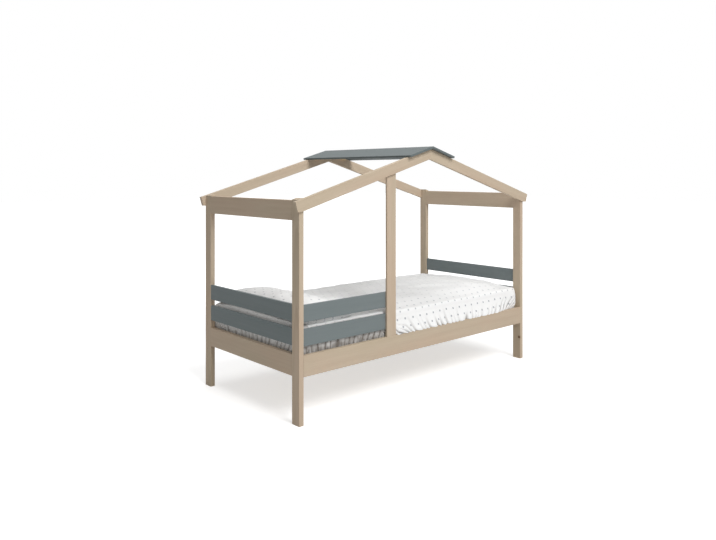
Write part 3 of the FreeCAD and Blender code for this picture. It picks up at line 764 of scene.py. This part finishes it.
def cover_surface(y):
    """Height of the cover's top across the bed."""
    middle = (COVER_HIGH.y + COVER_LOW.y) / 2.0
    half = (COVER_HIGH.y - COVER_LOW.y) / 2.0
    inset = np.clip(half - np.abs(y - middle), 0.0, SHOULDER)
    drop = SHOULDER - np.sqrt(SHOULDER ** 2 - (SHOULDER - inset) ** 2)
    return COVER_HIGH.z - 0.001 - CROWN * ((y - middle) / half) ** 2 - drop


def pillow_case(low, high):
    """The pillow's form: two puffed sheets that meet in a seam all round."""
    steps = 0.009
    half_long = (high.y - low.y) / 2.0
    wide = high.x - low.x
    centre_y = (high.y + low.y) / 2.0
    nu = int(round(wide / steps))
    nv = int(round(2.0 * half_long / steps))
    us = np.linspace(-1.0, 1.0, nu + 1)
    vs = np.linspace(-1.0, 1.0, nv + 1)
    u, v = np.meshgrid(us, vs, indexing="ij")
    # the sides draw in between the corners; the end behind the front guards bulges
    half_wide = wide / 2.0 - 0.008 * (1.0 - np.abs(v) ** 2) - 0.004 * np.abs(v) ** 8
    reach = half_long - 0.010 * (1.0 - np.abs(u) ** 2)
    reach = np.where(v < 0.0, half_long + 0.010 * (1.0 - np.abs(u) ** 4), reach)
    x = (low.x + high.x) / 2.0 + half_wide * (u - 0.11 * (1.0 - u * u))
    y = centre_y + reach * v
    full = np.clip(1.0 - np.abs(v) ** 3.2, 0.0, 1.0) ** 0.5
    round_u = np.clip(1.0 - np.abs(u) ** 2.3, 0.0, 1.0) ** 0.5
    thick = round_u * full
    tall = high.z - low.z
    sag = (0.014 + 0.010 * (v < 0.0)) * smooth(0.45, 1.0, np.abs(v))
    seam = low.z + 0.022 + 0.004 * np.abs(u) * np.abs(v) - sag
    upper = seam + (tall - 0.030) * thick
    upper -= 0.007 * smooth(-0.3, 0.5, u) * (1.0 - smooth(0.3, 0.8, -v)) * thick
    lower = seam - 0.020 * np.minimum(1.0, thick * 2.2)
    pull = 0.0045 * waves(np.arctan2(u, v) * 0.4, thick * 0.1, 6, 0.03, 0.09, 31)
    upper += pull * smooth(0.95, 0.4, thick) * smooth(0.0, 0.25, thick)
    upper += 0.0022 * waves(x, y, 8, 0.07, 0.22, 17) * smooth(0.1, 0.6, thick)
    points, lay = [], []
    upper_index = np.zeros(u.shape, int)
    lower_index = np.zeros(u.shape, int)
    for i in range(nu + 1):
        for j in range(nv + 1):
            upper_index[i, j] = len(points)
            points.append((x[i, j], y[i, j], max(upper[i, j], seam[i, j])))
            lay.append((u[i, j] * wide / 2.0, v[i, j] * half_long, 0.0))
    for i in range(nu + 1):
        for j in range(nv + 1):
            if i in (0, nu) or j in (0, nv):
                lower_index[i, j] = upper_index[i, j]
                continue
            lower_index[i, j] = len(points)
            points.append((x[i, j], y[i, j], lower[i, j]))
            lay.append((u[i, j] * wide / 2.0 + 0.013, v[i, j] * half_long + 0.021, 0.0))
    faces = []
    for i in range(nu):
        for j in range(nv):
            faces.append((upper_index[i, j], upper_index[i + 1, j],
                          upper_index[i + 1, j + 1], upper_index[i, j + 1]))
            faces.append((lower_index[i, j], lower_index[i, j + 1],
                          lower_index[i + 1, j + 1], lower_index[i + 1, j]))
    mesh = bpy.data.meshes.new("pillow_case")
    mesh.from_pydata(points, [], faces)
    mesh.validate()
    store = mesh.attributes.new("lay", "FLOAT_VECTOR", "POINT")
    store.data.foreach_set("vector", np.array(lay, np.float32).ravel())
    piece = bpy.data.objects.new("pillow_case", mesh)
    bpy.context.scene.collection.objects.link(piece)
    return piece


PILLOW_FRONT = -0.4515         # the pillow stops at the front guards
PILLOW_END = -0.957            # and at the end guards


def build_pillow():
    """Feather pillow lying on the cover against the end guards."""
    piece = pillow_case(PILLOW_LOW, PILLOW_HIGH)
    heights = read_points(piece)[:, 2]
    pinned = smooth(PILLOW_LOW.z + 0.008, PILLOW_LOW.z + 0.003, heights)
    cloth_relax(piece, pinned, 2.0, 0.003)
    co = read_points(piece)
    co[:, 1] = np.maximum(co[:, 1], PILLOW_FRONT)
    co[:, 2] = np.maximum(co[:, 2], cover_surface(co[:, 1]) + 0.0012)
    co[:, 0] = np.maximum(co[:, 0], PILLOW_END)
    write_points(piece, co)
    x, z = co[:, 0], co[:, 2]
    # painted shade on the pillow's low end by the end guards and on its lower flank
    low_end_shade = (1.0 - smooth(-0.93, -0.88, x)) * (1.0 - smooth(0.535, 0.560, z))
    flank_shade = smooth(0.655, 0.590, z) * (1.0 - smooth(-0.86, -0.72, x))
    write_shade(piece, "ink", np.full(len(co), 0.62))
    write_shade(piece, "painted_shade", np.maximum(0.40 * low_end_shade, 0.20 * flank_shade))
    smooth_and_dress(piece, dotted_cloth("dotted_pillow", (0.02, 0.01), 0.0060))
    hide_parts("pillow")
    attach(piece, "pillow")


# ---------------------------------------------------------------- stage
def stage():
    g = new_material("floor")
    place = g.add("TexCoord").outputs["Object"]
    grain = g.noise(place, 3.0, 2.0)
    colour = g.mix(grain, (0.78, 0.78, 0.78, 1.0), (0.80, 0.80, 0.80, 1.0))
    diffuse = g.add("BsdfDiffuse", {"Color": colour})
    away = g.add("VectorMath", {0: place}, operation="LENGTH").outputs["Value"]
    glow = g.math("ADD", g.math("MULTIPLY", g.ramp(away, 1.3, 4.2), 0.42), 0.58)
    lift = g.add("Emission", {"Color": WHITE,
                              "Strength": g.math("MULTIPLY", g.plain_sight(), glow)})
    both = g.add("AddShader", {0: diffuse.outputs[0], 1: lift.outputs[0]})
    g.add("OutputMaterial", {"Surface": both.outputs[0]})
    mesh = bpy.data.meshes.new("floor")
    size = 30.0
    mesh.from_pydata([(-size, -size, 0), (size, -size, 0), (size, size, 0), (-size, size, 0)],
                     [], [(0, 1, 2, 3)])
    floor = bpy.data.objects.new("floor", mesh)
    floor.data.materials.append(g.owner)
    bpy.context.scene.collection.objects.link(floor)


def lamp(name, place, target, size, power):
    data = bpy.data.lights.new(name, "AREA")
    data.shape = "DISK"
    data.size = size
    data.energy = power
    piece = bpy.data.objects.new(name, data)
    piece.location = place
    piece.rotation_euler = (Vector(target) - Vector(place)).to_track_quat("-Z", "Y").to_euler()
    bpy.context.scene.collection.objects.link(piece)


def light():
    world = bpy.data.worlds.new("studio")
    bpy.context.scene.world = world
    g = Graph(world)
    dim = g.add("Background", {"Color": WHITE, "Strength": 0.275})
    white = g.add("Background", {"Color": WHITE, "Strength": 1.0})
    mix = g.add("MixShader", {0: g.plain_sight(), 1: dim.outputs[0], 2: white.outputs[0]})
    g.add("OutputWorld", {"Surface": mix.outputs[0]})
    lamp("front", (-1.0, -7.0, 7.0), (0.0, 0.0, 0.7), 4.5, 580.0)
    lamp("overhead", (0.2, 0.5, 5.0), (0.0, 0.0, 0.0), 3.6, 68.0)


def camera():
    """The photograph's own viewpoint."""
    width, height, focal, horizon = 716.0, 540.0, 680.0, 174.0      # in its pixels
    data = bpy.data.cameras.new("camera")
    data.sensor_fit = "HORIZONTAL"
    data.sensor_width = 36.0
    data.lens = focal * data.sensor_width / width
    data.shift_y = (horizon - height / 2.0) / width
    data.clip_end = 200.0
    piece = bpy.data.objects.new("camera", data)
    piece.location = (-3.1056, -3.2854, 1.3038)
    piece.rotation_euler = (math.radians(90.0), 0.0, math.radians(-41.968))
    bpy.context.scene.collection.objects.link(piece)
    bpy.context.scene.camera = piece


dress_solids()
build_mattress()
build_cover()
build_pillow()
stage()
light()
camera()
bpy.context.scene.view_settings.view_transform = "Standard"
